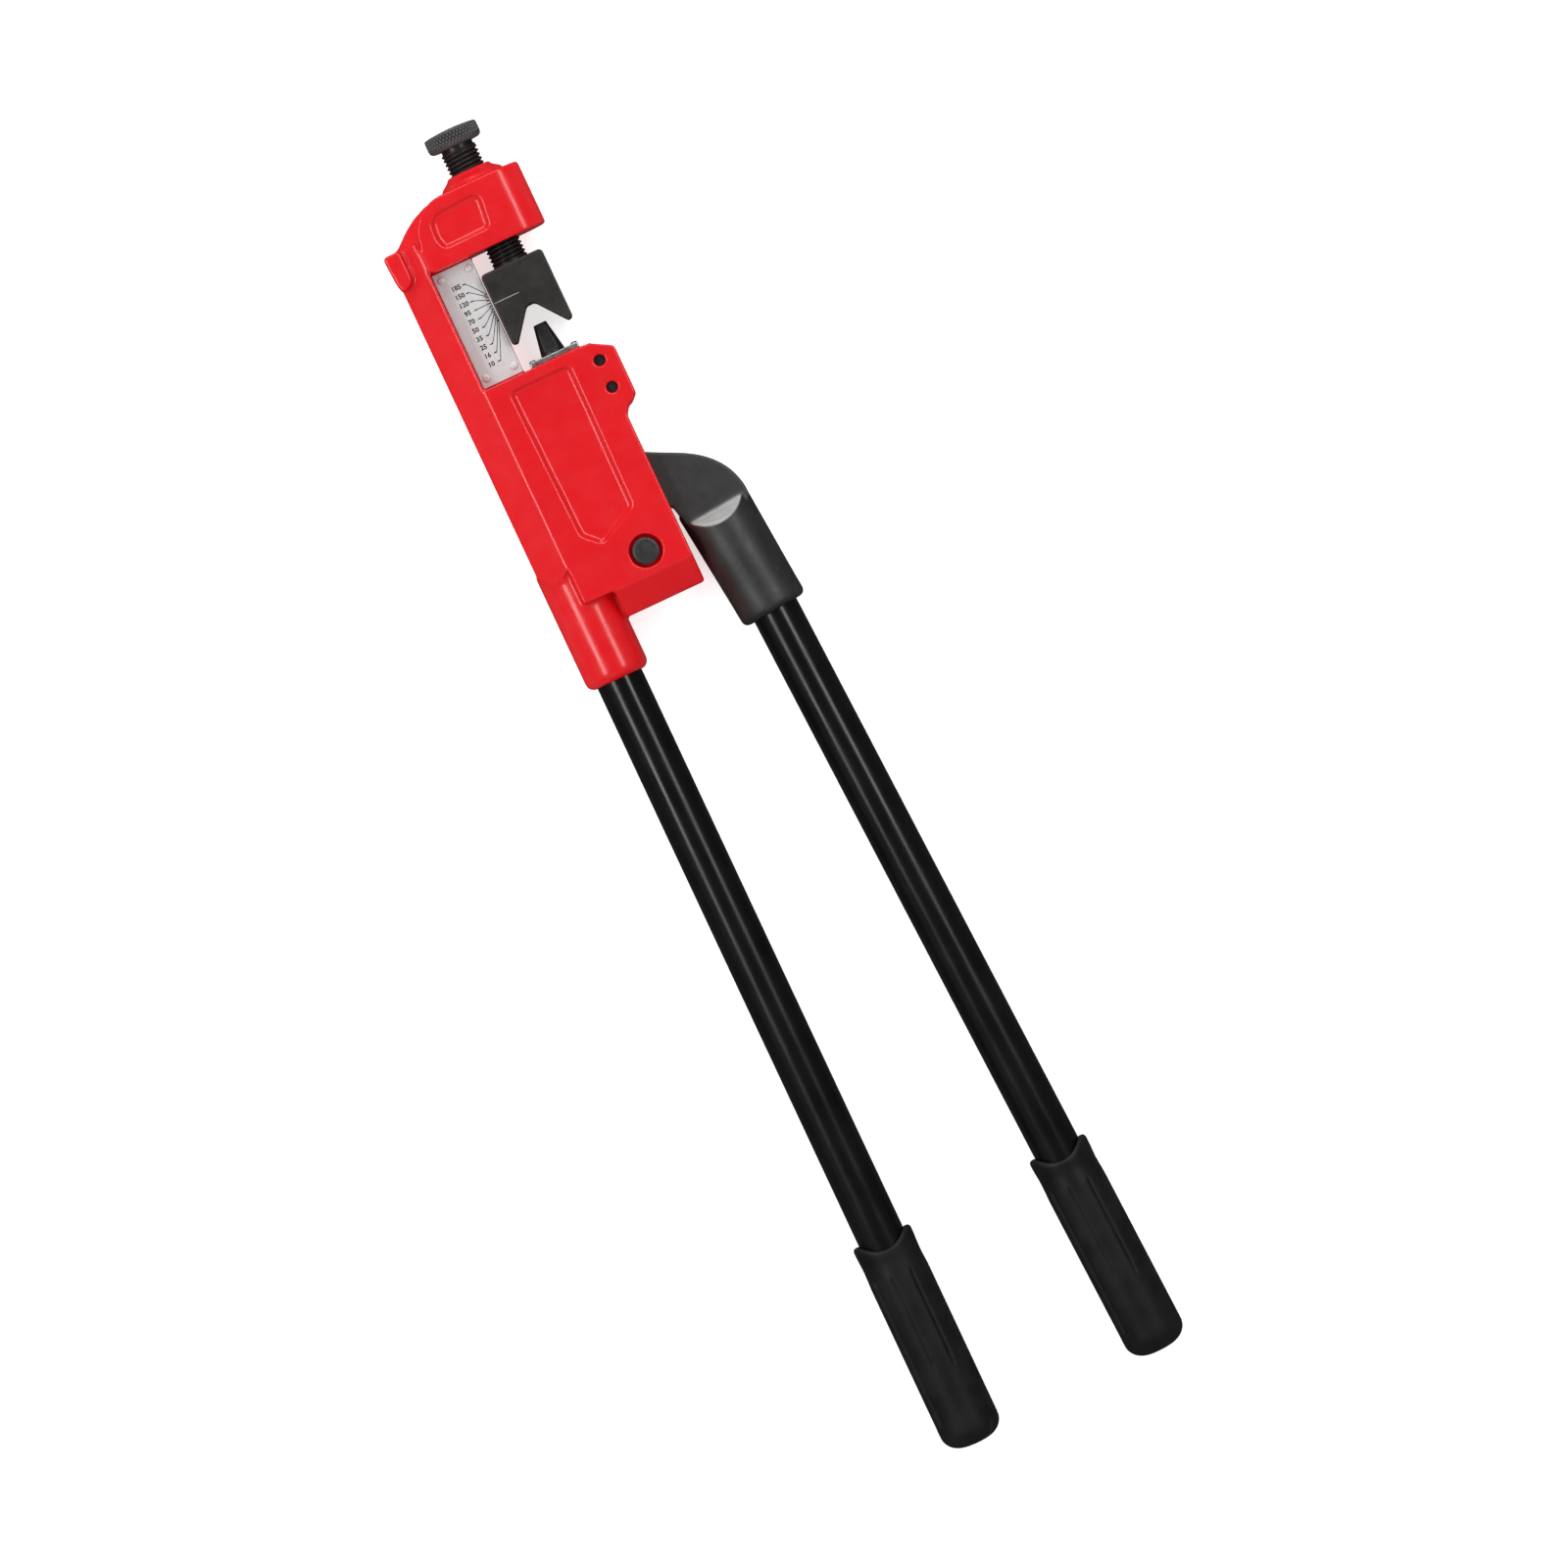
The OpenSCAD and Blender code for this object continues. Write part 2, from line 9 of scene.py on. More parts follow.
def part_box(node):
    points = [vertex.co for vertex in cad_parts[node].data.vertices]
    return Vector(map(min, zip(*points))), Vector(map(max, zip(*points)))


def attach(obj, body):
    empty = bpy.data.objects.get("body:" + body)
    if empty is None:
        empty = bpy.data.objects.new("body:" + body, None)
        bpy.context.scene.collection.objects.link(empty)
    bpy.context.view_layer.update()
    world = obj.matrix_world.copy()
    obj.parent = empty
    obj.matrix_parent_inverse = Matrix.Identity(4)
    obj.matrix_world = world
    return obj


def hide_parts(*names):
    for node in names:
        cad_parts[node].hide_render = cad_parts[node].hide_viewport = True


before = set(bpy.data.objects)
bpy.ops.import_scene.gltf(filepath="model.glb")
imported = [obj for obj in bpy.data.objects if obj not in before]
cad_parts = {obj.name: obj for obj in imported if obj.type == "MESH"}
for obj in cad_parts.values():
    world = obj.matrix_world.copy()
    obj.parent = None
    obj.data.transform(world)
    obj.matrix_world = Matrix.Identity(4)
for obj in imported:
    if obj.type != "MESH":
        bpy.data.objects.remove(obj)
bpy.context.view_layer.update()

MM = 0.001
UP = Vector((0, 0, 1))
DEPS = bpy.context.evaluated_depsgraph_get

# Sizes that the CAD shares between several nodes
TUBE_OUTER = 11 * MM
TUBE_INNER = 9 * MM

# ---------------------------------------------------------------- places, from the frame


def centre(node):
    low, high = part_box(node)
    return (Vector(low) + Vector(high)) / 2


def low_of(node):
    return Vector(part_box(node)[0])


def high_of(node):
    return Vector(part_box(node)[1])


HANDLE_LEAN = math.radians(2.5)
SOCKET_LEAN = math.radians(5.4)
MID_Z = centre("head_casting").z
SCREW_X = centre("adjusting_screw").x

# ---------------------------------------------------------------- mesh helpers


def new_object(name, mesh):
    thing = bpy.data.objects.new(name, mesh)
    bpy.context.scene.collection.objects.link(thing)
    return thing


def finish_piece(thing, body, material, replaced=(), sharp=None):
    """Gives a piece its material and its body."""
    thing.data.materials.clear()
    thing.data.materials.append(material)
    thing.data.shade_smooth()
    if sharp is not None:
        thing.data.set_sharp_from_angle(angle=math.radians(sharp))
    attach(thing, body)
    if replaced:
        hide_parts(*replaced)
    return thing


def relax(mesh, passes, freedom=None):
    """Rounds a dense mesh: each pass moves a vertex up to half way to its neighbours' middle.

    freedom gives each vertex a share from 0 to 1 of that half way.
    """
    count = len(mesh.vertices)
    places = np.empty(count * 3)
    mesh.vertices.foreach_get("co", places)
    places = places.reshape(count, 3)
    ends = np.empty(len(mesh.edges) * 2, dtype=np.int64)
    mesh.edges.foreach_get("vertices", ends)
    first, second = ends[0::2], ends[1::2]
    links = np.bincount(ends, minlength=count).clip(1)
    rates = np.full(count, 0.5) if freedom is None else 0.5 * freedom(places)
    for step in range(passes):
        total = np.empty_like(places)
        for axis in range(3):
            total[:, axis] = (
                np.bincount(first, places[second, axis], count)
                + np.bincount(second, places[first, axis], count)
            )
        places += (total / links[:, None] - places) * rates[:, None]
    mesh.vertices.foreach_set("co", places.ravel())
    mesh.update()


def remeshed(node, name, voxel, passes, freedom=None):
    """An evenly meshed copy of a CAD node, with its edges rounded."""
    source = new_object(name + "_source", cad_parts[node].data.copy())
    grid = source.modifiers.new("grid", "REMESH")
    grid.mode = "VOXEL"
    grid.voxel_size = voxel
    mesh = bpy.data.meshes.new_from_object(source.evaluated_get(DEPS()))
    relax(mesh, passes, freedom)
    bpy.data.objects.remove(source)
    return new_object(name, mesh)


def rounded_path(points, radius, steps=4):
    """A path with each inner corner replaced by a short arc."""
    path = [Vector(points[0])]
    for before, corner, after in zip(points, points[1:], points[2:]):
        before, corner, after = Vector(before), Vector(corner), Vector(after)
        inward, outward = before - corner, after - corner
        reach = min(radius, 0.45 * inward.length, 0.45 * outward.length)
        start = corner + inward.normalized() * reach
        end = corner + outward.normalized() * reach
        for step in range(steps + 1):
            t = step / steps
            path.append(start * (1 - t) ** 2 + corner * 2 * t * (1 - t) + end * t * t)
    path.append(Vector(points[-1]))
    return path


def turned(name, path, at, axis, columns=96, shape=None):
    """A closed turned form. path is (radius, distance along axis); shape may move each point."""
    axis = Vector(axis).normalized()
    across = Vector((0, 0, 1)) if abs(axis.z) < 0.9 else Vector((1, 0, 0))
    side = across.cross(axis).normalized()
    front = axis.cross(side)
    form = bmesh.new()
    rings = []
    for row, (radius, along) in enumerate(path):
        if radius < 1e-7:
            rings.append([form.verts.new(Vector(at) + axis * along)])
            continue
        ring = []
        for column in range(columns):
            turn = 2 * math.pi * column / columns
            r, s = (radius, along) if shape is None else shape(turn, radius, along, row)
            ring.append(form.verts.new(
                Vector(at) + axis * s + (side * math.cos(turn) + front * math.sin(turn)) * r))
        rings.append(ring)
    for one, two in zip(rings, rings[1:]):
        for column in range(columns):
            after = (column + 1) % columns
            if len(one) == 1 and len(two) == 1:
                continue
            if len(one) == 1:
                form.faces.new((one[0], two[column], two[after]))
            elif len(two) == 1:
                form.faces.new((one[column], two[0], one[after]))
            else:
                form.faces.new((one[column], two[column], two[after], one[after]))
    bmesh.ops.remove_doubles(form, verts=form.verts, dist=0.0001 * MM)
    bmesh.ops.recalc_face_normals(form, faces=form.faces)
    mesh = bpy.data.meshes.new(name)
    form.to_mesh(mesh)
    form.free()
    return new_object(name, mesh)


def joined(name, things):
    """Several mesh objects made into one."""
    form = bmesh.new()
    for thing in things:
        form.from_mesh(thing.data)
        bpy.data.objects.remove(thing)
    mesh = bpy.data.meshes.new(name)
    form.to_mesh(mesh)
    form.free()
    return new_object(name, mesh)


def strip(points, width, height):
    """A thin raised ribbon along points that lie in one level plane."""
    form = bmesh.new()
    rows = []
    for index, point in enumerate(points):
        ahead = points[min(index + 1, len(points) - 1)] - points[max(index - 1, 0)]
        side = UP.cross(ahead).normalized() * width / 2
        top = UP * height
        rows.append([form.verts.new(point + corner)
                     for corner in (-side, side, side + top, -side + top)])
    for one, two in zip(rows, rows[1:]):
        for corner in range(4):
            after = (corner + 1) % 4
            form.faces.new((one[corner], one[after], two[after], two[corner]))
    form.faces.new(rows[0][::-1])
    form.faces.new(rows[-1])
    bmesh.ops.recalc_face_normals(form, faces=form.faces)
    mesh = bpy.data.meshes.new("strip")
    form.to_mesh(mesh)
    form.free()
    return new_object("strip", mesh)


def figures(text, height, at, thickness):
    """Raised figures as a mesh, centred on a point of a level face."""
    curve = bpy.data.curves.new("figures", "FONT")
    curve.body = text
    curve.size = height
    curve.extrude = thickness
    curve.offset = height * 0.035
    curve.resolution_u = 2
    curve.align_x = "CENTER"
    curve.align_y = "CENTER"
    source = new_object("figures", curve)
    mesh = bpy.data.meshes.new_from_object(source.evaluated_get(DEPS()))
    mesh.transform(Matrix.Translation(at))
    bpy.data.objects.remove(source)
    return new_object("figures", mesh)


# ---------------------------------------------------------------- materials


class Surface:
    """A procedural material whose patterns are fixed to the part."""

    def __init__(self, name):
        self.material = bpy.data.materials.new(name)
        self.material.use_nodes = True
        self.tree = self.material.node_tree
        self.shader = self.tree.nodes["Principled BSDF"]
        self.place = self.node("ShaderNodeTexCoord").outputs["Object"]

    def node(self, kind, **settings):
        made = self.tree.nodes.new(kind)
        for key, value in settings.items():
            setattr(made, key, value)
        return made

    def link(self, source, target):
        self.tree.links.new(source, target)

    def set(self, **values):
        for key, value in values.items():
            self.shader.inputs[key.replace("_", " ")].default_value = value

    def noise(self, size, detail=3.0, stretch=(1, 1, 1)):
        """A noise pattern of about the given grain size in metres."""
        mapping = self.node("ShaderNodeMapping")
        mapping.inputs["Scale"].default_value = stretch
        self.link(self.place, mapping.inputs["Vector"])
        texture = self.node("ShaderNodeTexNoise")
        texture.inputs["Scale"].default_value = 1 / size
        texture.inputs["Detail"].default_value = detail
        self.link(mapping.outputs["Vector"], texture.inputs["Vector"])
        return texture.outputs["Fac"]

    def spread(self, source, low, high, start=0.3, stop=0.7):
        """Maps a pattern onto a range of values."""
        ramp = self.node("ShaderNodeMapRange", clamp=True)
        ramp.inputs["From Min"].default_value = start
        ramp.inputs["From Max"].default_value = stop
        ramp.inputs["To Min"].default_value = low
        ramp.inputs["To Max"].default_value = high
        self.link(source, ramp.inputs["Value"])
        return ramp.outputs["Result"]

    def blend(self, amount, one, two):
        """Mixes two colours; each is a colour or another output."""
        mix = self.node("ShaderNodeMix", data_type="RGBA")
        self.link(amount, mix.inputs["Factor"])
        for value, socket in ((one, mix.inputs[6]), (two, mix.inputs[7])):
            if isinstance(value, tuple):
                socket.default_value = (*value, 1)
            else:
                self.link(value, socket)
        return mix.outputs[2]

    def product(self, one, two):
        times = self.node("ShaderNodeMath", operation="MULTIPLY")
        self.link(one, times.inputs[0])
        self.link(two, times.inputs[1])
        return times.outputs[0]

    def edges(self, low=0.51, high=0.60):
        """Where the surface is sharply convex."""
        shape = self.node("ShaderNodeNewGeometry")
        return self.spread(shape.outputs["Pointiness"], 0, 1, low, high)

    def colour(self, source):
        self.link(source, self.shader.inputs["Base Color"])

    def roughness(self, source):
        self.link(source, self.shader.inputs["Roughness"])

    def relief(self, *layers):
        """Adds bumps; each layer is a pattern, its height in metres and its strength."""
        normal = None
        for pattern, height, strength in layers:
            bump = self.node("ShaderNodeBump")
            bump.inputs["Distance"].default_value = height
            bump.inputs["Strength"].default_value = strength
            self.link(pattern, bump.inputs["Height"])
            if normal is not None:
                self.link(normal, bump.inputs["Normal"])
            normal = bump.outputs["Normal"]
        self.link(normal, self.shader.inputs["Normal"])

    def runout(self, point, normal):
        """1 on the two sloped planes through point, above and below the mid plane, 0 elsewhere."""
        parts = self.node("ShaderNodeSeparateXYZ")
        self.link(self.place, parts.inputs[0])
        centred = self.node("ShaderNodeMath", operation="SUBTRACT")
        centred.inputs[1].default_value = MID_Z
        self.link(parts.outputs["Z"], centred.inputs[0])
        height = self.node("ShaderNodeMath", operation="ABSOLUTE")
        self.link(centred.outputs[0], height.inputs[0])
        folded = self.node("ShaderNodeCombineXYZ")
        for axis, source in (("X", parts.outputs["X"]), ("Y", parts.outputs["Y"]),
                             ("Z", height.outputs[0])):
            self.link(source, folded.inputs[axis])
        offset = self.node("ShaderNodeVectorMath", operation="SUBTRACT")
        offset.inputs[1].default_value = point
        self.link(folded.outputs[0], offset.inputs[0])
        dot = self.node("ShaderNodeVectorMath", operation="DOT_PRODUCT")
        dot.inputs[1].default_value = normal
        self.link(offset.outputs[0], dot.inputs[0])
        away = self.node("ShaderNodeMath", operation="ABSOLUTE")
        self.link(dot.outputs["Value"], away.inputs[0])
        near = self.spread(away.outputs[0], 1, 0, 0.0002, 0.0006)
        proud = self.spread(height.outputs[0], 0, 1, 0.0098, 0.0106)
        return self.product(near, proud)


def red_enamel():
    s = Surface("red_enamel")
    cloud = s.spread(s.noise(0.035, 2.0), 0, 1)
    grain = s.spread(s.noise(0.0022, 4.0), 0, 1)
    body = s.blend(cloud, (0.70, 0.0045, 0.0095), (0.76, 0.0065, 0.0120))
    body = s.blend(s.product(grain, s.spread(cloud, 0.05, 0.16)), body, (0.56, 0.003, 0.007))
    # Painted highlight: convex edges, found by pointiness, are blended towards a lighter red,
    # speckled by the grain.
    s.colour(s.blend(s.product(s.edges(), s.spread(grain, 0.1, 0.3)), body, (0.82, 0.02, 0.025)))
    s.roughness(s.spread(s.noise(0.008, 4.0), 0.20, 0.29))
    s.relief((s.noise(0.0016, 2.0), 0.00004, 0.3), (s.noise(0.0055, 3.0), 0.00022, 0.4))
    s.set(Coat_Weight=0.3, Coat_Roughness=0.1, Specular_IOR_Level=0.5)
    return s.material


def black_enamel():
    s = Surface("black_enamel")
    cloud = s.noise(0.02, 3.0)
    s.colour(s.blend(s.spread(cloud, 0, 1), (0.0028, 0.0028, 0.003), (0.0055, 0.0055, 0.0058)))
    s.roughness(s.spread(s.noise(0.006, 5.0, (1, 0.25, 1)), 0.17, 0.27))
    s.relief((s.noise(0.0018, 2.0), 0.00003, 0.3))
    s.set(Specular_IOR_Level=0.5)
    return s.material


def grip_rubber():
    s = Surface("grip_rubber")
    fine = s.noise(0.0005, 3.0)
    cloud = s.spread(s.noise(0.012, 4.0), 0, 1)
    body = s.blend(cloud, (0.0060, 0.0060, 0.0063), (0.0105, 0.0105, 0.0108))
    s.colour(s.blend(s.product(s.edges(0.505, 0.56), s.spread(fine, 0.2, 0.6)), body,
                     (0.03, 0.03, 0.031)))
    s.roughness(s.spread(cloud, 0.42, 0.54))
    s.relief((fine, 0.00006, 0.45), (s.noise(0.004, 2.0), 0.00015, 0.25))
    s.set(Specular_IOR_Level=0.35)
    return s.material


def lever_black(runout_point, runout_normal):
    """Black coated forging, bare where the two faces run out into the round socket."""
    s = Surface("lever_black")
    cloud = s.spread(s.noise(0.014, 4.0), 0, 1)
    grain = s.noise(0.0011, 4.0)
    body = s.blend(cloud, (0.012, 0.0112, 0.0106), (0.024, 0.0222, 0.0212))
    worn = s.blend(s.product(s.edges(0.51, 0.58), s.spread(grain, 0.2, 0.8)), body,
                   (0.05, 0.048, 0.046))
    bare = s.runout(runout_point, runout_normal)
    scratch = s.spread(s.noise(0.0009, 3.0, (0.12, 1, 1)), 0, 1)
    steel = s.blend(scratch, (0.26, 0.26, 0.26), (0.46, 0.46, 0.455))
    s.colour(s.blend(bare, worn, steel))
    s.roughness(s.spread(s.noise(0.005, 5.0), 0.42, 0.52))
    s.relief((grain, 0.00005, 0.5), (s.noise(0.006, 3.0), 0.0003, 0.4))
    s.set(Specular_IOR_Level=1.0)
    return s.material


def tool_steel():
    s = Surface("tool_steel")
    streak = s.spread(s.noise(0.0012, 3.0, (0.08, 1, 1)), 0, 1)
    cloud = s.spread(s.noise(0.011, 4.0), 0, 1)
    body = s.blend(cloud, (0.016, 0.0130, 0.0120), (0.026, 0.0225, 0.021))
    body = s.blend(s.product(streak, s.spread(cloud, 0.1, 0.4)), body, (0.040, 0.036, 0.034))
    s.colour(s.blend(s.edges(0.51, 0.58), body, (0.075, 0.07, 0.068)))
    s.roughness(s.spread(s.noise(0.004, 5.0), 0.38, 0.5))
    s.relief((s.noise(0.0008, 3.0, (0.1, 1, 1)), 0.00002, 0.4))
    s.set(Specular_IOR_Level=0.5)
    return s.material


def black_oxide(name="black_oxide", tone=0.03):
    s = Surface(name)
    cloud = s.spread(s.noise(0.005, 4.0), 0, 1)
    body = s.blend(cloud, (tone * 0.75,) * 3, (tone * 1.25, tone * 1.27, tone * 1.27))
    s.colour(s.blend(s.edges(0.505, 0.57), body, (tone * 3,) * 3))
    s.roughness(s.spread(s.noise(0.002, 4.0), 0.3, 0.46))
    s.relief((s.noise(0.0006, 3.0), 0.00002, 0.4))
    s.set(Specular_IOR_Level=0.6)
    return s.material


def bright_steel():
    s = Surface("bright_steel")
    streak = s.spread(s.noise(0.0007, 3.0, (1, 1, 0.15)), 0, 1)
    s.colour(s.blend(streak, (0.55, 0.56, 0.57), (0.72, 0.73, 0.74)))
    s.roughness(s.spread(s.noise(0.002, 4.0), 0.25, 0.4))
    s.relief((s.noise(0.0005, 3.0), 0.00001, 0.4))
    s.set(Metallic=1.0)
    return s.material


def plate_aluminium():
    s = Surface("plate_aluminium")
    brushed = s.spread(s.noise(0.0009, 4.0, (1, 0.03, 1)), 0, 1)
    cloud = s.spread(s.noise(0.012, 3.0), 0, 1)
    body = s.blend(brushed, (0.74, 0.745, 0.75), (0.86, 0.865, 0.87))
    s.colour(s.blend(s.product(cloud, s.spread(brushed, 0.1, 0.35)), body, (0.66, 0.665, 0.67)))
    s.roughness(s.spread(s.noise(0.003, 4.0), 0.36, 0.5))
    s.relief((s.noise(0.0007, 3.0, (1, 0.04, 1)), 0.00001, 0.5))
    s.set(Metallic=0.35)
    return s.material


def ink(name, tone):
    s = Surface(name)
    s.colour(s.blend(s.spread(s.noise(0.0008, 3.0), 0, 1), (tone * 0.8,) * 3, (tone * 1.3,) * 3))
    s.roughness(s.spread(s.noise(0.001, 3.0), 0.5, 0.7))
    return s.material


# ---------------------------------------------------------------- head


def casting_freedom(places):
    """Rounds the shoulder behind the jaw more than the rest of the casting."""
    x, y = places[:, 0] / MM, places[:, 1] / MM
    freedom = np.full(len(places), 0.45)
    freedom[(x < -45) & (y > 262)] = 1.0
    return freedom


def head():
    casting = remeshed("head_casting", "head_casting_skin", 0.6 * MM, 16, casting_freedom)
    finish_piece(casting, "frame", RED, ["head_casting"])
    block = remeshed("guide_block", "guide_block_body", 0.5 * MM, 4)
    finish_piece(block, "frame", OXIDE, ["guide_block"])
    plate = remeshed("guide_plate", "guide_plate_body", 0.35 * MM, 4)
    finish_piece(plate, "frame", STEEL, ["guide_plate"])


GUIDE_PIN_RADIUS = 2.6 * MM
GUIDE_PIN_INSET = 2.65 * MM
GUIDE_SCREW_INSET = 1.6 * MM


def anchor_bolt():
    depth = high_of("anchor_bolt").z - low_of("anchor_bolt").z
    at = centre("anchor_bolt")
    at.z = low_of("anchor_bolt").z
    head_r = (high_of("anchor_bolt").x - low_of("anchor_bolt").x) / 2
    path = rounded_path([(0, 0), (4.9 * MM, 0), (5 * MM, depth - 3.6 * MM),
                         (head_r, depth - 3.4 * MM), (head_r, depth - 0.5 * MM),
                         (head_r - 0.9 * MM, depth), (0, depth)], 0.5 * MM)

    def dished(turn, radius, along, row):
        hollow = max(0.0, 1 - radius / (head_r * 0.62)) if along > depth - 0.3 * MM else 0.0
        return radius, along - min(hollow, 0.35) * 1.2 * MM

    bolt = turned("anchor_bolt_body", path, at, UP, 64, dished)
    finish_piece(bolt, "frame", OXIDE, ["anchor_bolt"], 40)


def guide_pins():
    low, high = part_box("guide_block_pins")
    length = high[2] - low[2]
    path = rounded_path([(0, 0), (GUIDE_PIN_RADIUS, 0), (GUIDE_PIN_RADIUS, length), (0, length)],
                        0.6 * MM)
    pins = []
    for y in (low[1] + GUIDE_PIN_INSET, high[1] - GUIDE_PIN_INSET):
        at = Vector((centre("guide_block_pins").x, y, low[2]))
        pins.append(turned("pin", path, at, UP, 40))
    finish_piece(joined("guide_block_pin_pair", pins), "frame", DARK,
                 ["guide_block_pins"], 40)


def guide_screws():
    screws = []
    low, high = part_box("guide_plate_screws")
    top = high[1] - low[1]
    for x in (low[0] + GUIDE_SCREW_INSET, high[0] - GUIDE_SCREW_INSET):
        path = rounded_path([(0, 0), (1.2 * MM, 0), (1.2 * MM, top - 1.1 * MM),
                             (1.6 * MM, top - 1.1 * MM), (1.5 * MM, top - 0.3 * MM),
                             (0.9 * MM, top), (0, top)], 0.25 * MM)
        screws.append(turned("screw", path, (x, low[1], MID_Z), (0, 1, 0), 32))
    finish_piece(joined("guide_plate_screw_pair", screws), "frame", STEEL,
                 ["guide_plate_screws"], 40)


NUMBERS = ("10", "16", "25", "35", "50", "70", "95", "120", "150", "185")
FIRST_ROW = 0.158
ROW_PITCH = 0.0747
FAN_FIRST = 0.458
FAN_PITCH = 0.0250
PRINT_HEIGHT = 0.03 * MM


def curved(start, bend, end, steps=10):
    """Points along a smooth curve from start to end, pulled towards bend."""
    points = []
    for step in range(steps + 1):
        t = step / steps
        points.append(start * (1 - t) ** 2 + bend * 2 * t * (1 - t) + end * t * t)
    return points


def scale_print():
    """Cable sizes in a column, each with its own curve to the plate's right edge."""
    low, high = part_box("scale_plate")
    size = Vector(high) - Vector(low)

    def on_plate(across, up):
        return Vector((low[0] + size.x * across, low[1] + size.y * up, high[2] - 0.01 * MM))

    marks = []
    for row, text in enumerate(NUMBERS):
        up = FIRST_ROW + ROW_PITCH * row
        end = FAN_FIRST + FAN_PITCH * row
        marks.append(figures(text, 3.1 * MM, on_plate(0.40, up), PRINT_HEIGHT))
        marks.append(strip([on_plate(0.56, up), on_plate(0.64, up)], 0.55 * MM, PRINT_HEIGHT))
        line = curved(on_plate(0.63, up), on_plate(0.74, up + 0.25 * (end - up)),
                      on_plate(0.985, end))
        marks.append(strip(line, 0.34 * MM, PRINT_HEIGHT))
        marks.append(strip([on_plate(0.93, end), on_plate(0.985, end)], 0.5 * MM, PRINT_HEIGHT))
    finish_piece(joined("scale_print", marks), "frame", INK)


RIVET_INSET = 1.9 * MM


def rivet_heads():
    low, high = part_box("scale_plate_rivets")
    base = high[2] - 0.9 * MM
    rivets = []
    for x in (low[0] + RIVET_INSET, high[0] - RIVET_INSET):
        for y in (low[1] + RIVET_INSET, high[1] - RIVET_INSET):
            path = rounded_path([(0, -0.6 * MM), (1.2 * MM, -0.6 * MM), (1.2 * MM, 0.02 * MM),
                                 (1.9 * MM, 0.02 * MM), (1.75 * MM, 0.45 * MM),
                                 (1.1 * MM, 0.84 * MM), (0, 0.9 * MM)], 0.35 * MM)
            rivets.append(turned("rivet", path, (x, y, base), UP, 40))
    finish_piece(joined("scale_plate_rivet_set", rivets), "frame", ALUMINIUM,
                 ["scale_plate_rivets"], 50)


def scale():
    plate = remeshed("scale_plate", "scale_plate_body", 0.25 * MM, 3)
    finish_piece(plate, "frame", ALUMINIUM, ["scale_plate"])
    scale_print()
    rivet_heads()


# ---------------------------------------------------------------- dies and screw


def dies():
    anvil = remeshed("v_anvil", "v_anvil_body", 0.35 * MM, 8)
    finish_piece(anvil, "anvil", TOOL, ["v_anvil"])
    low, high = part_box("v_anvil")
    y = low[1] + (high[1] - low[1]) * 0.59
    line = strip([Vector((low[0] + 0.6 * MM, y, high[2] - 0.03 * MM)),
                  Vector((low[0] + 12.9 * MM, y, high[2] - 0.03 * MM))], 0.42 * MM, 0.06 * MM)
    line.name = "anvil_pointer_line"
    finish_piece(line, "anvil", PALE)
    nose = remeshed("indenter", "indenter_body", 0.22 * MM, 6)
    finish_piece(nose, "ram", DARK, ["indenter"])
    slide = remeshed("ram", "ram_body", 0.4 * MM, 4)
    finish_piece(slide, "ram", RAW, ["ram"])


THREAD_PITCH = 2 * MM


def adjusting_screw():
    low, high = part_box("adjusting_screw")
    radius = (high[0] - low[0]) / 2
    start, spigot = low[1], 6 * MM
    thread_from = high_of("v_anvil").y + 0.3 * MM
    thread_to = low_of("adjusting_knob").y - 2 * MM
    path = [(0, 0), (spigot - 0.6 * MM, 0), (spigot, 0.6 * MM), (spigot, 1.6 * MM),
            (4.2 * MM, 1.9 * MM), (4.2 * MM, 5.1 * MM), (spigot, 5.4 * MM),
            (spigot, thread_from - start - 0.01 * MM)]
    first = len(path)
    rows = int((thread_to - thread_from) / (THREAD_PITCH / 10))
    for row in range(rows + 1):
        path.append((radius, thread_from - start + (thread_to - thread_from) * row / rows))
    last = len(path)
    end = high[1] - start
    path += [(7.6 * MM, thread_to - start + 0.2 * MM), (7.6 * MM, thread_to - start + 2 * MM),
             (5 * MM, thread_to - start + 2.1 * MM), (5 * MM, end - 0.4 * MM),
             (4.6 * MM, end), (0, end)]

    def helix(turn, r, along, row):
        if not first <= row < last:
            return r, along
        phase = (along / THREAD_PITCH - turn / (2 * math.pi)) % 1.0
        tooth = min(1.0, max(0.0, abs(phase - 0.5) * 2.6 - 0.25))
        ease = min(1.0, (row - first) / 10, (last - 1 - row) / 10)
        return r - (0.08 + 1.05 * tooth * ease) * MM, along

    screw = turned("adjusting_screw_body", path, (SCREW_X, start, MID_Z), (0, 1, 0), 72, helix)
    finish_piece(screw, "screw", THREAD, ["adjusting_screw"], 50)


KNURL_TEETH = 46
KNURL_DEPTH = 0.85 * MM
KNURL_LEAD = 1.45 * MM


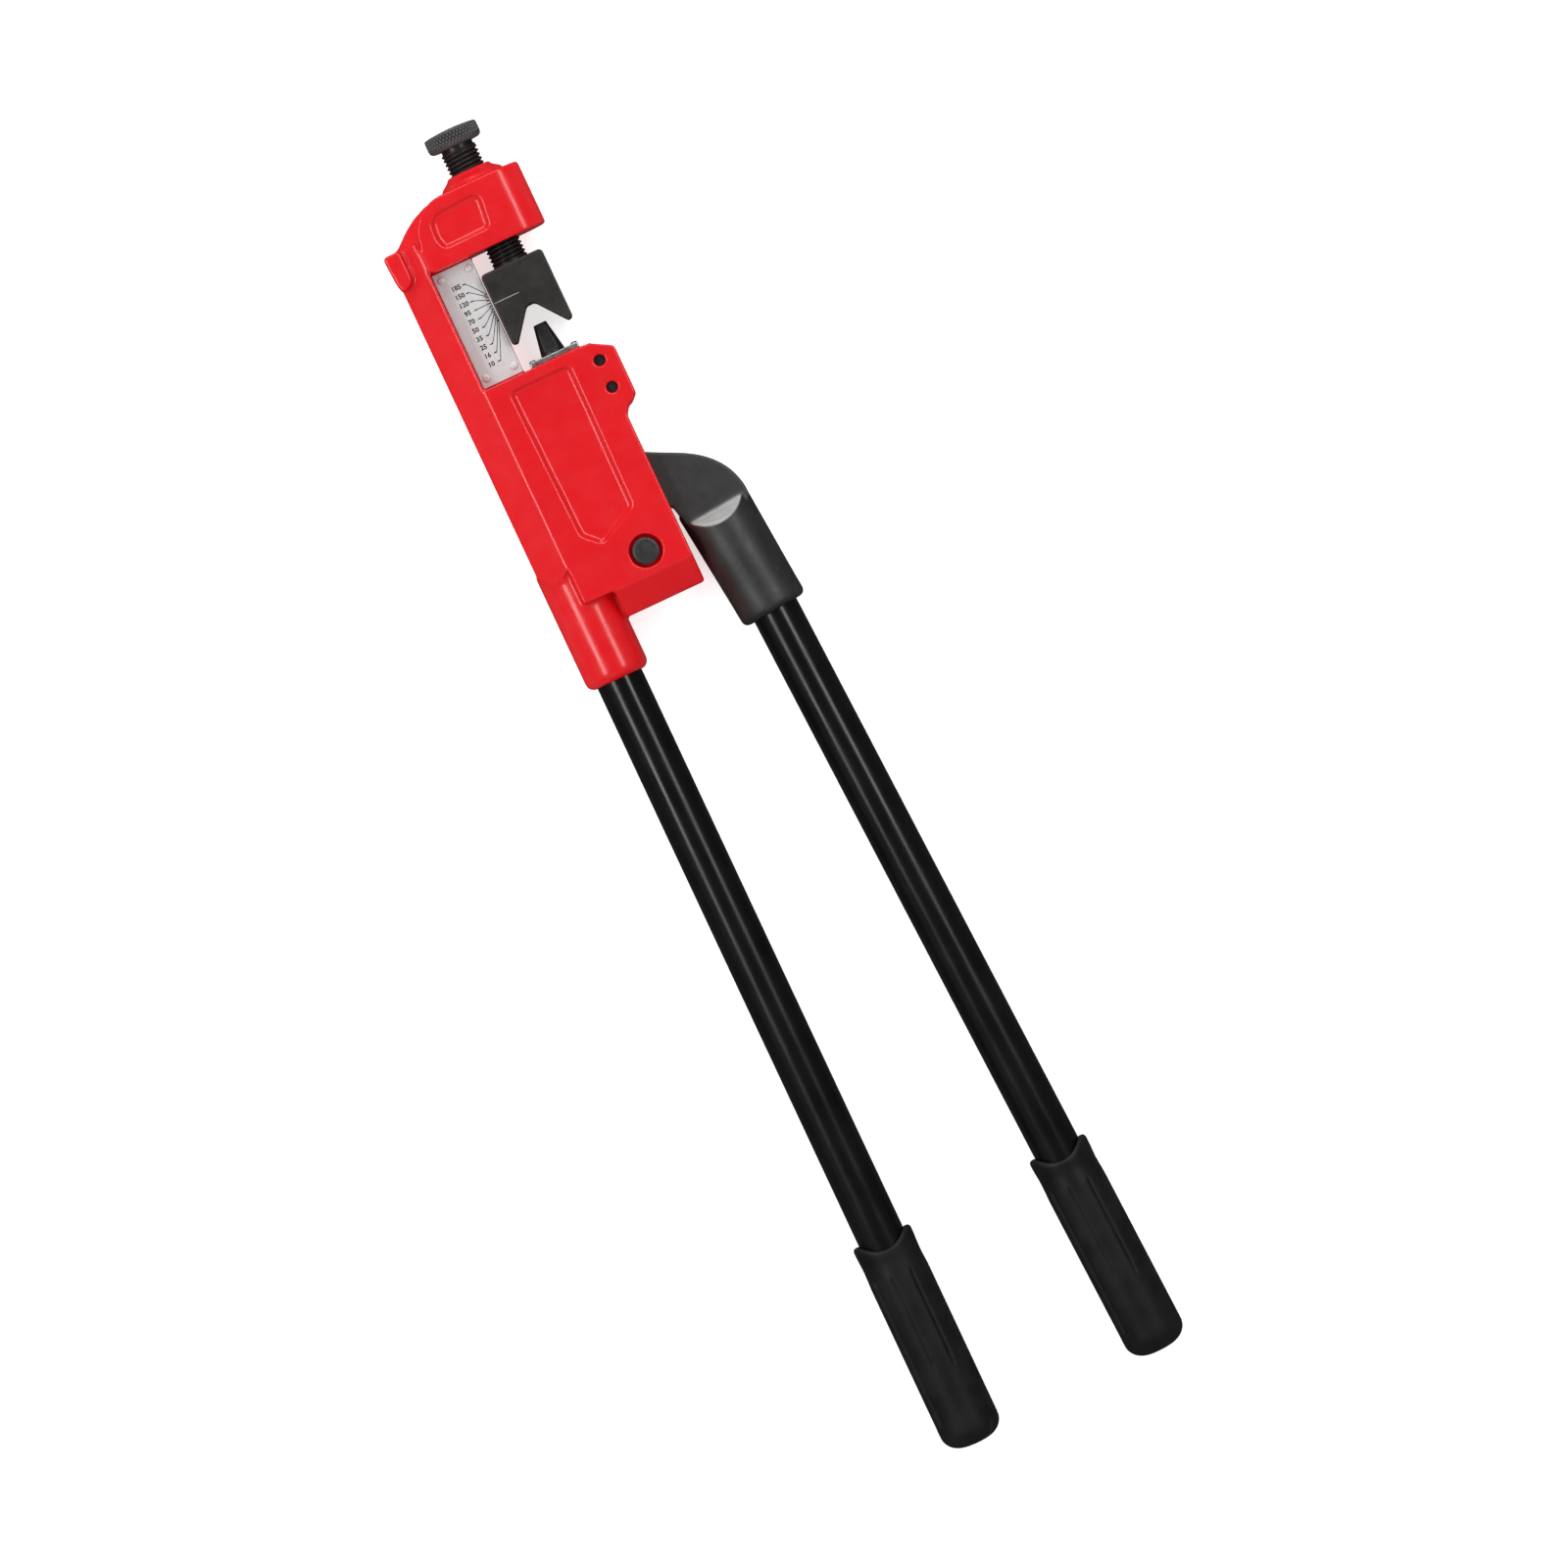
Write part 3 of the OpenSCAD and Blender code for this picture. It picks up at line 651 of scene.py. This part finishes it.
def knob():
    low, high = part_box("adjusting_knob")
    radius, thick = (high[0] - low[0]) / 2, high[1] - low[1]
    edge = 2.4 * MM
    crown = 0.7 * MM
    path = [(0, 0.9 * MM), (5 * MM, 0.9 * MM), (5.4 * MM, 0), (radius - edge - 0.6 * MM, 0)]
    path += [(radius - edge + edge * math.sin(a), edge - edge * math.cos(a))
             for a in (0.25, 0.55, 0.85, 1.15)]
    rim = len(path)
    rows = 18
    top = thick - crown
    for row in range(rows + 1):
        path.append((radius, edge + (top - 2 * edge * 0.75) * row / rows))
    rim_end = len(path)
    upper = edge * 0.5
    path += [(radius - upper + upper * math.cos(a), top - upper + upper * math.sin(a))
             for a in (0.3, 0.75, 1.2)]
    path += [(radius - 2.6 * MM, top + 0.25 * MM), (6 * MM, thick - 0.1 * MM), (0, thick)]

    def knurl(turn, r, along, row):
        if row < rim - 2 or row > rim_end + 1:
            return r, along
        slant = along / KNURL_LEAD * math.pi / 2
        one = abs(math.sin(KNURL_TEETH * turn / 2 + slant))
        two = abs(math.sin(KNURL_TEETH * turn / 2 - slant))
        fade = 1.0 if rim <= row < rim_end else 0.5
        return r - fade * KNURL_DEPTH * (1 - min(one, two)) ** 1.6, along

    rim_piece = turned("adjusting_knob_body", path, (SCREW_X, low[1], MID_Z), (0, 1, 0),
                       KNURL_TEETH * 8, knurl)
    finish_piece(rim_piece, "screw", KNOB, ["adjusting_knob"], 60)


# ---------------------------------------------------------------- lever and link


def down(lean):
    return Vector((math.sin(lean), -math.cos(lean), 0))


def lever():
    arm = remeshed("lever_arm", "lever_arm_body", 0.5 * MM, 9)
    finish_piece(arm, "lever", LEVER, ["lever_arm"])
    link = remeshed("toggle_link", "toggle_link_body", 0.4 * MM, 4)
    finish_piece(link, "link", RAW, ["toggle_link"])
    for node in ("ram_pin", "knee_pin"):
        low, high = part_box(node)
        radius, length = (high[0] - low[0]) / 2, high[2] - low[2]
        path = rounded_path([(0, 0), (radius, 0), (radius, length), (0, length)], 0.5 * MM)
        pin = turned(node + "_body", path, (centre(node).x, centre(node).y, low[2]), UP, 40)
        finish_piece(pin, "lever", STEEL, [node], 40)


# ---------------------------------------------------------------- handles


def mouth_of(node, lean):
    """The upper end of a handle tube, on its axis, and the tube's length."""
    low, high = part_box(node)
    length = (high[1] - low[1] - 2 * TUBE_OUTER * math.sin(lean)) / math.cos(lean)
    return centre(node) - down(lean) * length / 2, length


def tube(node, lean, body):
    at, length = mouth_of(node, lean)
    inner, outer = TUBE_INNER, TUBE_OUTER
    path = [(inner, length), (inner, 0), (outer, 0)]
    path += [(outer, length * share / 12) for share in range(1, 12)]
    path += [(outer, length), (inner, length)]
    path = rounded_path(path[:3], 0.5 * MM)[:-1] + rounded_path(path[2:], 0.5 * MM)
    thing = turned(node + "_body", path, at, down(lean), 96)
    finish_piece(thing, body, ENAMEL, [node], 35)


GRIP_COLUMNS = 252
GRIP_GROOVES = 9
GROOVE_PHASE = math.radians(25)
SADDLE_REACH = 12.6 * MM
SADDLE_DEPTH = 6 * MM
SADDLE_RUN = 12 * MM
GRIP_LENGTH = 103 * MM
GRIP_PAST_TUBE = 4 * MM
SHORT_GROOVES = (0, 4, 5, 8)
FAINT_GROOVE = 8


def smooth(value):
    value = min(1.0, max(0.0, value))
    return value * value * (3 - 2 * value)


def groove_depth(turn, along, radius):
    """Depth of the moulded grooves: some stop short, and one of those is faint."""
    pitch = 2 * math.pi / GRIP_GROOVES
    number = round((turn - GROOVE_PHASE) / pitch)
    away = abs(turn - GROOVE_PHASE - number * pitch) * radius / MM
    short = number % GRIP_GROOVES in SHORT_GROOVES
    start, end = (17.5, 68) if short else (14.5, 91)
    run = along / MM
    ends = smooth((run - start) / 3) * smooth((end - run) / (9 if short else 3))
    deep, wide = (1.2, 0.62) if short else (1.1, 1.2)
    if number % GRIP_GROOVES == FAINT_GROOVE:
        deep = 0.45
    return deep * MM * ends * math.exp(-(away / wide) ** 2)


def grip(node, tube_node, lean, body):
    at, length = mouth_of(tube_node, lean)
    outer = (high_of(node).z - low_of(node).z) / 2
    end = length + GRIP_PAST_TUBE
    start, dome = end - GRIP_LENGTH, 9 * MM
    inner, flare = TUBE_OUTER, 0.9 * MM
    path = [(0, end - GRIP_PAST_TUBE), (inner, end - GRIP_PAST_TUBE), (inner, start + 40 * MM),
            (inner, start + 12 * MM), (inner + 0.15 * MM, start + 6 * MM)]
    lip = (outer - inner - flare) / 2
    path += [(outer - lip - lip * math.cos(a), start + 2.2 * MM * (1 - math.sin(a)))
             for a in (0.0, 0.4, 0.8, 1.2, 1.6, 2.0, 2.4, 2.8)]
    path += [(outer - 0.02 * MM, start + d * MM) for d in (2.4, 4, 6, 8, 10, 12)]
    path += [(outer, start + d * MM) for d in range(13, 94)]
    for step in range(1, 15):
        a = math.pi / 2 * step / 15
        path.append((outer * math.cos(a) ** 0.7, end - dome + dome * math.sin(a)))
    path.append((0, end))

    def form(turn, r, along, row):
        across = min(1.0, abs(outer * math.cos(turn)) / SADDLE_REACH)
        cut = SADDLE_DEPTH * (1 - across ** 2)
        run = along - start
        near = min(1.0, max(0.0, 1 - run / SADDLE_RUN))
        if r > outer - 0.5 * MM:
            bearing = (math.pi / 2 - turn) % (2 * math.pi)
            r -= groove_depth(bearing, run, r) + 0.35 * MM * smooth(1 - abs(run / MM - 12) / 9)
        return r, along + cut * near

    thing = turned(node + "_body", path, at, down(lean), GRIP_COLUMNS, form)
    finish_piece(thing, body, RUBBER, [node], 60)


# ---------------------------------------------------------------- CAD nodes that stay


def inner_parts():
    """Gives finishes to the small CAD nodes that are not replaced."""
    finishes = {
        "anchor_retaining_ring": OXIDE, "link_spacers": STEEL, "indenter_set_screw": OXIDE,
        "anvil_retaining_pins": STEEL, "knob_pin": STEEL,
    }
    for node, material in finishes.items():
        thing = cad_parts[node]
        for slot in thing.material_slots:
            slot.material = material
        if not thing.material_slots:
            thing.data.materials.append(material)


# ---------------------------------------------------------------- stage, lights and camera


FLOOR_GLOW = 0.62


def stage():
    s = Surface("studio_floor")
    s.colour(s.blend(s.spread(s.noise(0.6, 2.0), 0, 1), (0.93, 0.93, 0.93), (0.95, 0.95, 0.95)))
    s.roughness(s.spread(s.noise(0.2, 2.0), 0.8, 0.9))
    s.set(Specular_IOR_Level=0.1, Emission_Color=(1, 1, 1, 1), Emission_Strength=FLOOR_GLOW)
    form = bmesh.new()
    bmesh.ops.create_circle(form, cap_ends=True, segments=96, radius=9.0)
    mesh = bpy.data.meshes.new("floor")
    form.to_mesh(mesh)
    form.free()
    floor = new_object("floor", mesh)
    floor.data.materials.append(s.material)
    floor.visible_glossy = False


def softbox(name, at, aim, width, length, power):
    light = bpy.data.lights.new(name, "AREA")
    light.shape = "RECTANGLE"
    light.size = width
    light.size_y = length
    light.energy = power
    lamp = bpy.data.objects.new(name, light)
    lamp.location = at
    look = (Vector(aim) - Vector(at)).normalized()
    side = Vector((0, 1, 0)).cross(-look).normalized()
    turn = Matrix((side, (-look).cross(side), -look)).transposed()
    lamp.rotation_euler = turn.to_euler()
    bpy.context.scene.collection.objects.link(lamp)


AMBIENT = 0.62
REFLECTED = 0.05


def ambient():
    """An even white surround, bright to the camera and dim in reflections."""
    world = bpy.data.worlds.new("studio")
    bpy.context.scene.world = world
    world.use_nodes = True
    tree = world.node_tree
    shade = tree.nodes["Background"]
    shade.inputs["Color"].default_value = (1, 1, 1, 1)
    path = tree.nodes.new("ShaderNodeLightPath")
    mirrored = tree.nodes.new("ShaderNodeMapRange")
    mirrored.inputs["To Min"].default_value = AMBIENT
    mirrored.inputs["To Max"].default_value = REFLECTED
    tree.links.new(path.outputs["Is Glossy Ray"], mirrored.inputs["Value"])
    seen = tree.nodes.new("ShaderNodeMapRange")
    seen.inputs["To Max"].default_value = 1.0
    tree.links.new(path.outputs["Is Camera Ray"], seen.inputs["Value"])
    tree.links.new(mirrored.outputs["Result"], seen.inputs["To Min"])
    tree.links.new(seen.outputs["Result"], shade.inputs["Strength"])


STRIP_REACH = 1.5
STRIPS = (("left_strip", -37, 6.6), ("right_strip", 32, 5.5))


def lights():
    """Two strips for the lines along the tubes, and four soft fills."""
    for name, angle, power in STRIPS:
        a = math.radians(angle)
        at = (STRIP_REACH * math.sin(a), 0.50, STRIP_REACH * math.cos(a))
        softbox(name, at, (0, 0.42, 0), 0.30, 1.1, power)
    softbox("left_low", (-1.7, 0.3, 0.85), (0, 0.15, 0), 0.8, 1.6, 0.35)
    softbox("foot_light", (0, -1.05, 1.5), (0, -1.05, 0), 3.6, 1.3, 2.6)
    softbox("boss_rim", (0.0, 1.6, 0.12), (0, 0.27, 0), 0.5, 0.2, 0.8)
    softbox("head_light", (0.20, 1.75, 1.15), (0, 0.2, 0), 1.5, 0.7, 8.5)
    ambient()


CAMERA_HEIGHT = 7.0
VIEW_WIDTH = 0.710
VIEW_TURN = math.radians(-25.1)


def camera():
    data = bpy.data.cameras.new("camera")
    data.sensor_width = 36
    data.lens = 36 * CAMERA_HEIGHT / VIEW_WIDTH
    thing = bpy.data.objects.new("camera", data)
    thing.location = (2.0 * MM, -12.9 * MM, MID_Z + CAMERA_HEIGHT)
    thing.rotation_euler = (0, 0, VIEW_TURN)
    bpy.context.scene.collection.objects.link(thing)
    bpy.context.scene.camera = thing
    bpy.context.scene.view_settings.view_transform = "Standard"


RED = red_enamel()
ENAMEL = black_enamel()
RUBBER = grip_rubber()
TOOL = tool_steel()
OXIDE = black_oxide()
THREAD = black_oxide("thread_oxide", 0.008)
DARK = black_oxide("dark_oxide", 0.011)
KNOB = black_oxide("knob_oxide", 0.040)
RAW = black_oxide("machined_oxide", 0.07)
STEEL = bright_steel()
ALUMINIUM = plate_aluminium()
INK = ink("scale_ink", 0.018)
PALE = ink("pointer_fill", 0.32)
# The plane in which the lever's faces run out into its socket
RUNOUT_TOP = Vector((31.9 * MM, 60 * MM, 0)) - down(SOCKET_LEAN) * 54 * MM + UP * 9.5 * MM
RUNOUT_NORMAL = (-down(SOCKET_LEAN) + UP).normalized()
LEVER = lever_black(RUNOUT_TOP, RUNOUT_NORMAL)

camera()
head()
anchor_bolt()
guide_pins()
guide_screws()
scale()
dies()
adjusting_screw()
knob()
lever()
tube("fixed_handle_tube", 0.0, "frame")
tube("moving_handle_tube", HANDLE_LEAN, "lever")
grip("fixed_handle_grip", "fixed_handle_tube", 0.0, "frame")
grip("moving_handle_grip", "moving_handle_tube", HANDLE_LEAN, "lever")
inner_parts()
stage()
lights()
